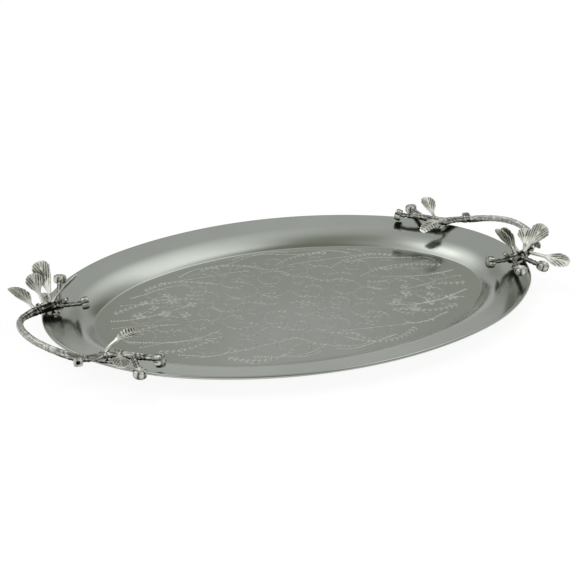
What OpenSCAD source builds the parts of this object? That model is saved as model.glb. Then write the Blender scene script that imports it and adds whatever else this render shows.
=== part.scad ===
// Oval serving tray: a pressed steel pan and two cast twig handles with leaves and buds.
// Millimetres. Origin at the centre of the underside, X along the tray, Z up.
// The left handle is drawn where it stands; the right one is the same twig turned half round.

/* [Tray] */
// Length over the rim
tray_l = 440; // [400:5:480]
// Width over the rim
tray_w = 300; // [270:5:330]
// Height of the rim above the table
rim_h = 16; // [15:0.5:17.5]
// Width of the border, from the outer edge to the flat floor
border_w = 44; // [42:1:50]
// Sheet thickness
sheet_t = 0.9; // [0.7:0.1:1.2]
// Rise of the flange above level
flange_angle = 11; // [9:0.5:13]
// Steepest slope of the border, next to the floor
wall_angle = 42; // [38:1:48]
// Inside radius where the floor turns up
floor_fillet_r = 2; // [1.5:0.5:4]
// Outside radius of the edge turned down
lip_r = 1.6; // [1.3:0.1:2.2]

/* [Twigs] */
// Thickness of the twig, as a share of the drawn one
twig_share = 1; // [0.95:0.01:1.1]
// Height of the twig axis above the flange, along the post of the cluster
cluster_post_h = 7.5; // [7.25:0.25:9]
// The same along the post of the tail
tail_post_h = 6.25; // [6:0.25:8]
// Radius of a post at its foot
post_foot_r = 4.2; // [3.6:0.1:4.8]
// Radius of a post under the twig
post_top_r = 2.6; // [2.4:0.1:2.8]
// Height of the broad foot of a post
post_foot_h = 1; // [0.8:0.1:1.2]
// Height at which a post has narrowed
post_neck_h = 2.4; // [2.2:0.1:2.8]
// Depth of the flat seat cut in the twig for a post
post_seat = 0.8; // [0.6:0.1:1.2]
// Radius of the cut stub on the outside of the bend
stub_r = 4.5; // [4:0.1:5]
// Radius of the cut spurs beside the cluster
spur_r = 1.9; // [1.6:0.1:2.2]

/* [Leaves and buds] */
// Thickness of a leaf blade
leaf_t = 1.5; // [1.2:0.1:2]
// Radius of the stalk of a leaf
stalk_r = 1.6; // [1.4:0.1:1.9]
// Radius of the stalk of a full-size bud
bud_stalk_r = 2.4; // [2.1:0.1:2.7]
// Radius of the pegs under the stalks
peg_r = 1; // [0.8:0.1:1.1]
// Depth of a peg in the twig
peg_depth = 2; // [1.6:0.1:2.2]
// Radius of a bud
bud_r = 5.6; // [5:0.1:6.2]
// Length of a bud
bud_l = 6.4; // [5.8:0.2:7]

/* [Screws] */
// Thread diameter
screw_d = 3; // [2.5:0.5:3]
// Length under the head
screw_l = 10; // [9.5:0.5:10]
// Head diameter
head_d = 5.6; // [5:0.2:6]
// Head height
head_h = 2; // [1.6:0.2:2.4]
// Washer diameter
washer_d = 7; // [6.6:0.2:8]
// Washer thickness
washer_t = 0.6; // [0.5:0.1:0.8]

/* [Hidden] */
$fn = 48;
// Slack between a peg or screw and its hole
fit_gap = 0.05;
// Air left between two curved faces that would only graze each other
graze_gap = 0.3;
// Slack of a screw in the hole of the pan
pan_hole_gap = 0.2;
// The flange is hollowed a little across a post, so the foot stands this far above it
foot_gap = 0.05;
// Overlap of solids that are joined, and the overrun of cuts
lap = 1;
// Sides of a ring round the pan, of a twig ring and of a leaf ring
pan_sides = 120;
twig_sides = 12;
leaf_sides = 10;
// Rings between two points of the twig, and along a leaf
twig_steps = 4;
leaf_steps = 9;
// How far the edges of a leaf are raised, as a share of its half width
leaf_cup = 0.18;
// A higher power makes the lower part of a blade slimmer
leaf_rise = 1.5;
// Section of a bud along its own axis: shares of its radius, and of its length from the middle
bud_section = [[0, -0.5], [0.62, -0.5], [0.9, -0.4], [1, -0.22], [1, 0.2], [0.92, 0.4], [0.66, 0.5], [0, 0.4]];

steel = [0.66, 0.67, 0.65];
nickel = [0.62, 0.61, 0.55];
zinc = [0.55, 0.56, 0.58];

function unit(v) = v / norm(v);

// Outline of the rim: three tangent arcs in each quarter, close to an ellipse
end_ease = 1.05;
side_ease = 0.95;
end_r = end_ease * pow(tray_w / 2, 2) / (tray_l / 2);
side_r = side_ease * pow(tray_l / 2, 2) / (tray_w / 2);
mid_r = sqrt(end_r * side_r);
end_c = [tray_l / 2 - end_r, 0];
side_c = [0, tray_w / 2 - side_r];
// The middle centre is the corner of a triangle whose sides are the differences of the radii
centre_span = norm(side_c - end_c);
centre_way = (side_c - end_c) / centre_span;
centre_along = (pow(mid_r - end_r, 2) - pow(side_r - mid_r, 2) + pow(centre_span, 2)) / (2 * centre_span);
centre_off = sqrt(pow(mid_r - end_r, 2) - pow(centre_along, 2));
mid_c = end_c + centre_way * centre_along + [centre_way.y, -centre_way.x] * centre_off;
end_turn = atan2(end_c.y - mid_c.y, end_c.x - mid_c.x);
side_turn = atan2(mid_c.y - side_c.y, mid_c.x - side_c.x);

// Section of the border: x outwards from the edge of the floor, y up from the table.
// The radius of the shoulder and the length of the flange are solved from the width and height left for them.
shoulder_w = sin(wall_angle) - sin(flange_angle);
shoulder_h = cos(flange_angle) - cos(wall_angle);
left_w = border_w - floor_fillet_r * sin(wall_angle) - lip_r * (1 + sin(flange_angle));
left_h = rim_h - sheet_t - floor_fillet_r * (1 - cos(wall_angle)) - lip_r * (1 - cos(flange_angle));
shoulder_r = (left_h - left_w * tan(flange_angle)) / (shoulder_h - shoulder_w * tan(flange_angle));
flange_l = (left_w - shoulder_r * shoulder_w) / cos(flange_angle);
fillet_c = [0, sheet_t + floor_fillet_r];
shoulder_c = fillet_c + (floor_fillet_r + shoulder_r) * [sin(wall_angle), -cos(wall_angle)];
flange_end = shoulder_c + shoulder_r * [-sin(flange_angle), cos(flange_angle)]
    + flange_l * [cos(flange_angle), sin(flange_angle)];
lip_c = flange_end - lip_r * [-sin(flange_angle), cos(flange_angle)];
lip_drop = 0.4;

// Points of an arc between two slopes; a negative radius gives the hollow side
function bow(c, r, from, to, steps) =
    [for (i = [0:steps]) let (p = from + (to - from) * i / steps) c + r * [-sin(p), cos(p)]];

// One face of the sheet from floor to lip, set back by the given depth
function sheet_face(depth) = concat(
    bow(fillet_c, -floor_fillet_r - depth, 0, wall_angle, 3),
    bow(shoulder_c, shoulder_r - depth, wall_angle, flange_angle, 6),
    bow(lip_c, lip_r - depth, flange_angle, -90, 4),
    [[lip_c.x + lip_r - depth, lip_c.y - lip_drop]]);
function reversed(list) = [for (i = [len(list) - 1:-1:0]) list[i]];
border = concat(sheet_face(0), reversed(sheet_face(sheet_t)));

// A point of the plan: the way out from the tray, turned from +X, and how far outside the rim
function oval_point(way, out) = let (
    t = atan2(abs(sin(way)), abs(cos(way))),
    c = t < end_turn ? end_c : t < side_turn ? mid_c : side_c,
    r = t < end_turn ? end_r : t < side_turn ? mid_r : side_r,
    p = c + (r + out) * [cos(t), sin(t)])
    [p.x * sign(cos(way)), p.y * sign(sin(way))];
// The same near the left end, with the way out turned from -X towards +Y
function rim_point(turn, out) = oval_point(180 - turn, out);

function flange_point(turn, out) = let (p = rim_point(turn, out))
    [p.x, p.y, flange_end.y + (border_w + out - flange_end.x) * tan(flange_angle)];
function flange_up(turn) =
    [sin(flange_angle) * cos(turn), -sin(flange_angle) * sin(turn), cos(flange_angle)];

// Posts: turn along the rim, distance outside it, the point of the guide above, and its height
cluster_post = [13, -11.5, 1, cluster_post_h];
tail_post = [-43.5, -6.5, 9, tail_post_h];
posts = [cluster_post, tail_post];

function over(post) = flange_point(post[0], post[1]) + post[3] * flange_up(post[0]);
function beside(turn, out, up) = let (p = rim_point(turn, out)) [p.x, p.y, rim_h + up];

// Guide of the twig, from the cut inner end round the outside of the rim to the thin tail
guide = [
    beside(13, -19, 4.5), over(cluster_post), beside(7.5, 2, 6), beside(0, 15.7, 8),
    beside(-8, 21.6, 10), beside(-18, 22.6, 11), beside(-28, 18.6, 9), beside(-37, 10.8, 5),
    beside(-40.5, 4, 4.4), over(tail_post), beside(-50, -10, 6.6), beside(-55, -11, 7)];
guide_r = twig_share * [3.6, 4.8, 4.2, 3.2, 3.1, 3.1, 3.1, 3.6, 3.2, 3.9, 3.2, 2.8];
guide_end = len(guide) - 1;

// Smooth curve through a list of points or numbers, at a place counted in points
function smooth(list, at) = let (
    i = min(floor(at), len(list) - 2),
    u = at - i,
    b = list[i],
    c = list[i + 1],
    a = i > 0 ? list[i - 1] : 2 * b - c,
    d = i + 2 < len(list) ? list[i + 2] : 2 * c - b)
    0.5 * (2 * b + (c - a) * u + (2 * a - 5 * b + 4 * c - d) * u * u + (3 * b - a - 3 * c + d) * u * u * u);

// Half the stretch of guide over which the way of the twig is taken
way_step = 0.02;
function twig_way(at) =
    unit(smooth(guide, min(at + way_step, guide_end)) - smooth(guide, max(at - way_step, 0)));
function twig_ring(at) = let (
    p = smooth(guide, at),
    r = smooth(guide_r, at),
    side = unit(cross(twig_way(at), [0, 0, 1])),
    up = cross(side, twig_way(at)))
    [for (j = [0:twig_sides - 1]) let (a = 360 * j / twig_sides) p + r * (cos(a) * side + sin(a) * up)];

// Leaves: place on the twig, way to the tip, way the blade faces, width, curl towards the face,
// the share of the length that is bare stalk, and the share of the blade up to its broadest place
left_leaves = [
    [2.15, [-15, 41, 4.5], [0.2, -0.4, 1], 14, -35, 0.1, 0.42],
    [1.2, [-7, 17, 34.5], [-0.3, -1, 0.3], 16, 16, 0.15, 0.8],
    [1.62, [-8, 9.5, 28.5], [0.1, -1, 0.1], 15, 14, 0.3, 0.7],
    [1.4, [24, -5, 28], [0.57, -0.58, -0.58], 10, 18, 0.15, 0.55],
    [8.6, [36, 16, 4.5], [0.1, -0.3, 1], 12, -105, 0.2, 0.5],
    [9.34, [-4, -33, 6], [0.2, 0.2, 1], 15, -25, 0.2, 0.6]];
right_leaves = [
    [2, [-18, 45, 6], [0.69, 0.17, 0.79], 14, -10, 0.38, 0.6],
    [1.55, [-19.5, 3.5, 29], [0.4, 1, 0], 18, 14, 0.2, 0.68],
    [1.8, [-3, -8.5, 22], [0.6, 1, 0], 13.5, 14, 0.2, 0.65],
    [1.27, [20, -6, 28], [-0.8, -0.45, 0.4], 13, -12, 0.16, 0.55],
    [8.6, [36, 17, 0], [0, 0.2, 1], 13, -60, 0.2, 0.5],
    [9.34, [-6, -38, 8], [0, 0.3, 1], 15, 16, 0.22, 0.65],
    [1.48, [15, -10, 26], [-0.86, -0.5, 0.13], 12, -6, 0.16, 0.6],
    [2.35, [-5, 8, 8.5], [0.6, 0.4, 0], 9, 16, 0.2, 0.6]];

// Buds: place on the twig, way to the middle of the bud, share of the full size, and way of its axis
left_buds = [
    [0.85, [8, 35, 6], 1, [0.1, 0.1, 1]],
    [1.42, [-1, 24, -2], 0.65, [0, 0, 1]],
    [0, [18, 0, -1], 1, [1, 0, 0.1]],
    [9.95, [0, -27, -1], 1, [0.1, -0.1, 1]],
    [guide_end, [5.5, -5.5, -0.5], 1, [0.7, -0.6, 0.3]]];
right_buds = [
    [0.85, [10, 34, 5], 1, [0, 0.1, 1]],
    [1.42, [-10, 26, 0], 1, [-0.2, 0.2, 1]],
    [0, [17, 0, 0], 1, [1, 0, 0.1]],
    [9.95, [1, -28, -2], 1, [0.1, 0, 1]],
    [guide_end, [7, -6, -1], 1, [0.7, -0.6, 0.2]]];

// The cut stub on the outside of the bend
stub_at = 7.15;
stub_reach = [-1.5, -8.5, 0];
stub_hollow = 1.2;
// The cut spurs: place on the twig and way to the cut end
spurs = [[0.55, [6, -3, 6]], [1.75, [-5, -4, 6]]];

// How far from the axis of the twig its skin lies on the given way; nothing at its cut ends
function skin_at(at, way) = at == 0 || at == guide_end ? 0
    : smooth(guide_r, at) / norm(cross(way, twig_way(at)));
// Slope of the skin to a stalk, which decides how far off the stalk has to begin
function lean_at(at, way) = at == 0 || at == guide_end ? 0
    : abs(way * twig_way(at)) / norm(cross(way, twig_way(at)));
function stalk_start(at, way, r) = skin_at(at, way) + graze_gap + r * lean_at(at, way);

// A leaf is an arc from its place on the twig to its tip
function leaf_chord(leaf) = unit(leaf[1]);
function leaf_face(leaf) = let (c = leaf_chord(leaf)) unit(leaf[2] - (leaf[2] * c) * c);
function leaf_way(leaf) = leaf_chord(leaf) * cos(leaf[4] / 2) - leaf_face(leaf) * sin(leaf[4] / 2);
function leaf_up(leaf) = leaf_face(leaf) * cos(leaf[4] / 2) + leaf_chord(leaf) * sin(leaf[4] / 2);
function leaf_bend_r(leaf) = norm(leaf[1]) / 2 / sin(leaf[4] / 2);
function leaf_length(leaf) = leaf_bend_r(leaf) * leaf[4] * PI / 180;

// Width of a leaf along its free length: bare stalk, then widening to the broadest place, then a round end
function leaf_shape(bare, broadest, v) = let (u = (v - bare) / (1 - bare))
    u < 0 ? 0
    : u < broadest ? pow(sin(90 * u / broadest), leaf_rise)
    : sqrt(max(0, 1 - pow((u - broadest) / (1 - broadest), 2)));
function leaf_ring(leaf, v) = let (
    from = stalk_start(leaf[0], leaf_way(leaf), stalk_r) / leaf_length(leaf),
    turn = leaf[4] * (from + (1 - from) * v),
    way = leaf_way(leaf),
    up = leaf_up(leaf),
    p = smooth(guide, leaf[0]) + leaf_bend_r(leaf) * (way * sin(turn) + up * (1 - cos(turn))),
    side = cross(way, up),
    rise = up * cos(turn) - way * sin(turn),
    half_w = stalk_r + (leaf[3] / 2 - stalk_r) * leaf_shape(leaf[5], leaf[6], v),
    half_t = stalk_r + (leaf_t / 2 - stalk_r) * min(1, v / leaf[5]))
    [for (j = [0:leaf_sides - 1]) let (a = 360 * j / leaf_sides)
        p + side * half_w * cos(a)
        + rise * (half_t * sin(a) + leaf_cup * (half_w - stalk_r) * cos(a) * cos(a))];

// A closed solid through rings that have the same number of points
module skin(rings) {
    n = len(rings[0]);
    last = len(rings) - 1;
    walls = [for (i = [0:last - 1], j = [0:n - 1])
        let (a = i * n + j, b = i * n + (j + 1) % n)
        each [[a, b, b + n], [a, b + n, a + n]]];
    first_cap = [for (j = [n - 1:-1:0]) j];
    last_cap = [for (j = [0:n - 1]) last * n + j];
    polyhedron([for (ring = rings) each ring], concat([first_cap], walls, [last_cap]));
}

// Places children at a point with their Z along the given way
module along(point, way) {
    translate(point)
        rotate([0, acos(unit(way).z), atan2(way.y, way.x)])
            children();
}

// Stands children on the flange at a post, with Z along the post
module at_foot(post) {
    along(flange_point(post[0], post[1]), flange_up(post[0]))
        children();
}

module half_turn() {
    rotate([0, 0, 180])
        children();
}

// A level ring round the pan through one point of its section
function pan_ring(p) = [for (i = [0:pan_sides - 1])
    let (q = oval_point(360 * (i + 0.5) / pan_sides, p.x - border_w)) [q.x, q.y, p.y]];

module tray_pan() {
    color(steel)
        difference() {
            skin([for (p = border) pan_ring(p)]);
            for (flip = [0, 180], post = posts) {
                rotate([0, 0, flip])
                    at_foot(post)
                        translate([0, 0, -sheet_t - lap])
                            cylinder(d = screw_d + 2 * pan_hole_gap, h = sheet_t + 2 * lap);
            }
        }
}

// Where the top of a post meets its seat in the twig
function post_top(post) = post[3] - smooth(guide_r, post[2]) + post_seat;

module post(post) {
    bore_r = screw_d / 2 + fit_gap;
    color(nickel)
        at_foot(post)
            rotate_extrude()
                polygon([
                    [bore_r, foot_gap], [post_foot_r, foot_gap],
                    [post_foot_r, post_foot_h], [post_top_r, post_neck_h],
                    [post_top_r, post_top(post)], [bore_r, post_top(post)]]);
}

module screw(post) {
    color(zinc)
        at_foot(post)
            translate([0, 0, -sheet_t - washer_t]) {
                cylinder(d = screw_d, h = screw_l);
                translate([0, 0, -head_h])
                    cylinder(d = head_d, h = head_h);
            }
}

module washer(post) {
    color(zinc)
        at_foot(post)
            translate([0, 0, -sheet_t - washer_t])
                difference() {
                    cylinder(d = washer_d, h = washer_t);
                    translate([0, 0, -lap])
                        cylinder(d = screw_d + 2 * pan_hole_gap, h = washer_t + 2 * lap);
                }
}

module screws() {
    for (post = posts) {
        screw(post);
    }
}

module washers() {
    for (post = posts) {
        washer(post);
    }
}

// Socket for the peg of a leaf or bud
module socket(at, way) {
    along(smooth(guide, at) + unit(way) * (skin_at(at, unit(way)) - peg_depth), way)
        cylinder(r = peg_r + fit_gap, h = peg_depth + 2 * lap);
}

// Seat for a post and the tapped hole for its screw
module post_cut(post) {
    at_foot(post) {
        translate([0, 0, -lap])
            cylinder(r = post_top_r + fit_gap, h = lap + post_top(post));
        cylinder(r = screw_d / 2 + fit_gap, h = screw_l - sheet_t - washer_t + graze_gap);
    }
}

module twig(leaves, buds) {
    stub_l = norm(stub_reach);
    color(nickel)
        difference() {
            union() {
                skin([for (i = [0:guide_end * twig_steps]) twig_ring(i / twig_steps)]);
                along(smooth(guide, stub_at), stub_reach)
                    cylinder(r = stub_r, h = stub_l);
                for (spur = spurs) {
                    along(smooth(guide, spur[0]), spur[1])
                        cylinder(r = spur_r, h = norm(spur[1]));
                }
            }
            along(smooth(guide, stub_at) + unit(stub_reach) * (stub_l - stub_hollow), stub_reach)
                cylinder(r = stub_r / 3, h = stub_hollow + lap);
            for (leaf = leaves) {
                socket(leaf[0], leaf_way(leaf));
            }
            for (bud = buds) {
                socket(bud[0], bud[1]);
            }
            for (post = posts) {
                post_cut(post);
            }
        }
}

// Leaf: a cupped blade on a round stalk, with a peg that stands on the bottom of its socket
module leaf(leaf) {
    way = leaf_way(leaf);
    seat = skin_at(leaf[0], way) - peg_depth;
    color(nickel)
        union() {
            skin([for (i = [0:leaf_steps]) leaf_ring(leaf, sin(90 * i / leaf_steps))]);
            along(smooth(guide, leaf[0]) + way * seat, way)
                cylinder(r = peg_r, h = stalk_start(leaf[0], way, stalk_r) - seat + lap);
        }
}

// Bud: a short drum, dimpled at its upper end, on a stalk with a peg
module bud(bud) {
    way = unit(bud[1]);
    seat = skin_at(bud[0], way) - peg_depth;
    stem_r = bud_stalk_r * bud[2];
    start = stalk_start(bud[0], way, stem_r);
    color(nickel)
        union() {
            along(smooth(guide, bud[0]) + way * seat, way)
                cylinder(r = peg_r, h = start - seat + lap);
            along(smooth(guide, bud[0]) + way * start, way)
                cylinder(r = stem_r, h = norm(bud[1]) - start);
            along(smooth(guide, bud[0]) + bud[1], bud[3])
                scale(bud[2])
                    rotate_extrude()
                        polygon([for (q = bud_section) [q[0] * bud_r, q[1] * bud_l]]);
        }
}

tray_pan();
twig(left_leaves, left_buds);  // left_twig
post(cluster_post);  // left_cluster_post
post(tail_post);  // left_tail_post
screws();  // left_screws
washers();  // left_washers
leaf(left_leaves[0]);  // left_outer_leaf
leaf(left_leaves[1]);  // left_top_leaf
leaf(left_leaves[2]);  // left_middle_leaf
leaf(left_leaves[3]);  // left_inner_leaf
leaf(left_leaves[4]);  // left_well_leaf
leaf(left_leaves[5]);  // left_rim_leaf
bud(left_buds[0]);  // left_back_bud
bud(left_buds[1]);  // left_low_bud
bud(left_buds[2]);  // left_inner_bud
bud(left_buds[3]);  // left_side_bud
bud(left_buds[4]);  // left_end_bud
half_turn() twig(right_leaves, right_buds);  // right_twig
half_turn() post(cluster_post);  // right_cluster_post
half_turn() post(tail_post);  // right_tail_post
half_turn() screws();  // right_screws
half_turn() washers();  // right_washers
half_turn() leaf(right_leaves[0]);  // right_outer_leaf
half_turn() leaf(right_leaves[1]);  // right_top_leaf
half_turn() leaf(right_leaves[2]);  // right_middle_leaf
half_turn() leaf(right_leaves[3]);  // right_inner_leaf
half_turn() leaf(right_leaves[4]);  // right_well_leaf
half_turn() leaf(right_leaves[5]);  // right_rim_leaf
half_turn() leaf(right_leaves[6]);  // right_second_leaf
half_turn() leaf(right_leaves[7]);  // right_small_leaf
half_turn() bud(right_buds[0]);  // right_back_bud
half_turn() bud(right_buds[1]);  // right_low_bud
half_turn() bud(right_buds[2]);  // right_inner_bud
half_turn() bud(right_buds[3]);  // right_side_bud
half_turn() bud(right_buds[4]);  // right_end_bud
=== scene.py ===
# Oval serving tray: a pan of pressed satin steel and two cast nickel handles, twigs with leaves and buds.
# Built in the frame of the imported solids; sizes are written in millimetres and become metres in each mesh.
import math

import bpy
import numpy as np
from mathutils import Matrix, Vector
from mathutils.kdtree import KDTree


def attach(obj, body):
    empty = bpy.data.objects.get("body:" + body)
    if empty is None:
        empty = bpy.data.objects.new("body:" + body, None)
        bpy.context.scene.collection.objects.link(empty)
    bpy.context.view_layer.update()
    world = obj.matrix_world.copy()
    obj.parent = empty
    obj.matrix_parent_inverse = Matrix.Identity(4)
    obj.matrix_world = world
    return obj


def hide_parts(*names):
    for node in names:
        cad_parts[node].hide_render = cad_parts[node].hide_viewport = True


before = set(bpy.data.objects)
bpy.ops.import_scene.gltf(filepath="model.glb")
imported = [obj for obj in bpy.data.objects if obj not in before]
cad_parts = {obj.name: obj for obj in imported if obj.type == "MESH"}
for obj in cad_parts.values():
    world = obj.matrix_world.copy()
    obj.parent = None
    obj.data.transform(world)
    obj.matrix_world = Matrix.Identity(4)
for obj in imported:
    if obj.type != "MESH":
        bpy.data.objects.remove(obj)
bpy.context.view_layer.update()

# Pan
# One sheet of steel pressed into an oval: flat floor, short wall, round shoulder and wide sloping flange.
# The edge is turned down, the surface is satin, and four holes in the flange take the screws of the handles.
MM = 0.001
TRAY_LENGTH = 440
TRAY_WIDTH = 299.7
RIM_HEIGHT = 16
BORDER_WIDTH = 44
SHEET = 0.9
FLANGE_SLOPE = math.radians(11)
WALL_SLOPE = math.radians(42)
FLOOR_FILLET = 2
LIP = 1.6
LIP_DROP = 0.4
PAN_SIDES = 480
FLAT_EDGE = 0.6
# Steps of the mesh along the section
FILLET_STEPS = 8
SHOULDER_STEPS = 20
FLANGE_STEPS = 10
LIP_STEPS = 12
# Width of a screw hole, and how far its cutter reaches above and below the sheet
SCREW_HOLE = 3.4
HOLE_REACH = 3
# Height of the satin grain
SATIN_GRAIN = 0.1

# Three tangent arcs in each quarter of the outline, close to an ellipse, eased at its ends and sides
END_EASE = 1.05
SIDE_EASE = 0.95
END_R = END_EASE * (TRAY_WIDTH / 2) ** 2 / (TRAY_LENGTH / 2)
SIDE_R = SIDE_EASE * (TRAY_LENGTH / 2) ** 2 / (TRAY_WIDTH / 2)
MID_R = math.sqrt(END_R * SIDE_R)
END_C = np.array([TRAY_LENGTH / 2 - END_R, 0])
SIDE_C = np.array([0, TRAY_WIDTH / 2 - SIDE_R])
SPAN = np.linalg.norm(SIDE_C - END_C)
ALONG = (SIDE_C - END_C) / SPAN
MID_ALONG = ((MID_R - END_R) ** 2 - (SIDE_R - MID_R) ** 2 + SPAN**2) / (2 * SPAN)
MID_OFF = math.sqrt((MID_R - END_R) ** 2 - MID_ALONG**2)
MID_C = END_C + ALONG * MID_ALONG + np.array([ALONG[1], -ALONG[0]]) * MID_OFF
END_TURN = math.atan2(END_C[1] - MID_C[1], END_C[0] - MID_C[0])
SIDE_TURN = math.atan2(MID_C[1] - SIDE_C[1], MID_C[0] - SIDE_C[0])


def oval_point(way, out):
    """A point of the plan: the way out from the tray, turned from +X, and how far outside the rim."""
    turn = math.atan2(abs(math.sin(way)), abs(math.cos(way)))
    if turn < END_TURN:
        centre, radius = END_C, END_R
    elif turn < SIDE_TURN:
        centre, radius = MID_C, MID_R
    else:
        centre, radius = SIDE_C, SIDE_R
    x, y = centre + (radius + out) * np.array([math.cos(turn), math.sin(turn)])
    return np.array([math.copysign(x, math.cos(way)), math.copysign(y, math.sin(way))])


def bow(centre, radius, start, end, steps):
    """Points of an arc between two slopes; a negative radius gives the hollow side."""
    slopes = [start + (end - start) * i / steps for i in range(steps + 1)]
    return [centre + radius * np.array([-math.sin(s), math.cos(s)]) for s in slopes]


# Radius of the shoulder and length of the flange, solved from the width and height left for them
FLANGE_OUT = np.array([math.cos(FLANGE_SLOPE), math.sin(FLANGE_SLOPE)])
FLANGE_NORMAL = np.array([-math.sin(FLANGE_SLOPE), math.cos(FLANGE_SLOPE)])
WALL_NORMAL = np.array([-math.sin(WALL_SLOPE), math.cos(WALL_SLOPE)])
SHOULDER_W, SHOULDER_H = FLANGE_NORMAL - WALL_NORMAL
LEFT_W = BORDER_WIDTH - FLOOR_FILLET * math.sin(WALL_SLOPE) - LIP * (1 + math.sin(FLANGE_SLOPE))
LEFT_H = RIM_HEIGHT - SHEET - FLOOR_FILLET * (1 - math.cos(WALL_SLOPE)) - LIP * (1 - math.cos(FLANGE_SLOPE))
SHOULDER = (LEFT_H - LEFT_W * math.tan(FLANGE_SLOPE)) / (SHOULDER_H - SHOULDER_W * math.tan(FLANGE_SLOPE))
FLANGE_RUN = (LEFT_W - SHOULDER * SHOULDER_W) / math.cos(FLANGE_SLOPE)
FILLET_C = np.array([0, SHEET + FLOOR_FILLET])
SHOULDER_C = FILLET_C - (FLOOR_FILLET + SHOULDER) * WALL_NORMAL
FLANGE_END = SHOULDER_C + SHOULDER * FLANGE_NORMAL + FLANGE_RUN * FLANGE_OUT
LIP_C = FLANGE_END - LIP * FLANGE_NORMAL


def sheet_face(depth):
    """One face of the sheet from floor to lip, set back by the given depth."""
    points = [np.array([-FLAT_EDGE, SHEET - depth])]
    points += bow(FILLET_C, -FLOOR_FILLET - depth, 0, WALL_SLOPE, FILLET_STEPS)
    points += bow(SHOULDER_C, SHOULDER - depth, WALL_SLOPE, FLANGE_SLOPE, SHOULDER_STEPS)
    lip = bow(LIP_C, LIP - depth, FLANGE_SLOPE, -math.pi / 2, LIP_STEPS)
    foot = points[-1]
    points += [foot + (lip[0] - foot) * step / FLANGE_STEPS for step in range(1, FLANGE_STEPS)]
    points += lip
    points.append(np.array([LIP_C[0] + LIP - depth, LIP_C[1] - LIP_DROP]))
    return points


def mesh_piece(name, points, edges=(), faces=()):
    """A new piece of the scene, from points in millimetres with their edges and faces."""
    mesh = bpy.data.meshes.new(name)
    mesh.from_pydata((np.asarray(points, float) * MM).tolist(), edges, faces)
    piece = bpy.data.objects.new(name, mesh)
    bpy.context.scene.collection.objects.link(piece)
    return piece


def closed_skin(name, rings, relief=None, wrapped=False, sharp=50):
    """A closed mesh through rings of equally many points, in millimetres.

    Each point has a relief value, 1 where none is given; on cast pieces it also holds painted shade. A
    wrapped skin joins its last ring to its first.
    """
    rings = np.asarray(rings, float)
    count, sides = rings.shape[:2]
    faces = []
    for i in range(count if wrapped else count - 1):
        low, high = i * sides, (i + 1) % count * sides
        for j in range(sides):
            k = (j + 1) % sides
            faces.append((low + j, high + j, high + k, low + k))
    if not wrapped:
        faces.append(tuple(range(sides)))
        faces.append(tuple(range(count * sides - 1, (count - 1) * sides - 1, -1)))
    piece = mesh_piece(name, rings.reshape(-1, 3), faces=faces)
    stored = piece.data.attributes.new("relief", "FLOAT", "POINT")
    values = np.ones(count * sides) if relief is None else np.asarray(relief, float).reshape(-1)
    stored.data.foreach_set("value", values.astype(np.float32))
    piece.data.shade_smooth()
    piece.data.set_sharp_from_angle(angle=math.radians(sharp))
    return piece


def settle(piece):
    """Turns a piece and its modifiers into a plain mesh."""
    evaluated = piece.evaluated_get(bpy.context.evaluated_depsgraph_get())
    mesh = bpy.data.meshes.new_from_object(evaluated)
    piece.modifiers.clear()
    piece.data = mesh
    return piece


def combine(piece, other, operation):
    """Joins a solid to a piece or cuts it out, and removes it.

    Every point takes the relief of the nearest old point, so the old points keep theirs.
    """
    known = []
    for solid in (piece, other):
        relief = solid.data.attributes["relief"].data
        known += [(point.co.copy(), value.value) for point, value in zip(solid.data.vertices, relief)]
    places = KDTree(len(known))
    for i, (place, _) in enumerate(known):
        places.insert(place, i)
    places.balance()
    boolean = piece.modifiers.new("combine", "BOOLEAN")
    boolean.operation = operation
    boolean.solver = "EXACT"
    boolean.object = other
    settle(piece)
    bpy.data.objects.remove(other)
    for point, value in zip(piece.data.vertices, piece.data.attributes["relief"].data):
        value.value = known[places.find(point.co)[1]][1]


def feed(tree, node, values):
    """Gives inputs of a node their numbers or the sockets that feed them."""
    for key, value in dict(values).items():
        if isinstance(value, bpy.types.NodeSocket):
            tree.links.new(value, node.inputs[key])
        else:
            node.inputs[key].default_value = value


def add(tree, kind, values=(), **settings):
    """Adds a node with its settings and what feeds its inputs."""
    made = tree.nodes.new(kind)
    for key, value in settings.items():
        setattr(made, key, value)
    feed(tree, made, values)
    return made


def group_tree(name, kind, inputs, outputs):
    """An empty node group with named sockets: the tree, what it is given and its output node."""
    tree = bpy.data.node_groups.new(name, kind)
    for label, socket, value in inputs:
        item = tree.interface.new_socket(label, in_out="INPUT", socket_type=f"NodeSocket{socket}")
        if value is not None:
            item.default_value = value
    for label, socket in outputs:
        tree.interface.new_socket(label, in_out="OUTPUT", socket_type=f"NodeSocket{socket}")
    return tree, tree.nodes.new("NodeGroupInput").outputs, tree.nodes.new("NodeGroupOutput")


def noise(tree, place, scale, detail, roughness):
    """A cloudy value that changes over the surface."""
    made = add(tree, "ShaderNodeTexNoise", {
        "Vector": place, "Scale": scale, "Detail": detail, "Roughness": roughness})
    return made.outputs["Fac"]


def sheet_marks_group():
    """Soft smudges and a fine satin grain, as values that change over the surface."""
    tree, given, result = group_tree(
        "sheet_marks", "ShaderNodeTree",
        [("Vector", "Vector", None), ("Smudge Scale", "Float", 9.0), ("Grain Scale", "Float", 900.0)],
        [("Smudge", "Float"), ("Grain", "Float")])
    feed(tree, result, {
        "Smudge": noise(tree, given["Vector"], given["Smudge Scale"], 4.0, 0.6),
        "Grain": noise(tree, given["Vector"], given["Grain Scale"], 3.0, 0.55)})
    return tree


sheet_marks = sheet_marks_group()


def ramp(tree, factor, low, high, start=0.0, end=1.0):
    """A blend from one colour to another while the factor goes from start to end."""
    made = add(tree, "ShaderNodeValToRGB", {"Fac": factor})
    made.color_ramp.elements[0].position = start
    made.color_ramp.elements[0].color = (*low, 1)
    made.color_ramp.elements[1].position = end
    made.color_ramp.elements[1].color = (*high, 1)
    return made.outputs["Color"]


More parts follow.
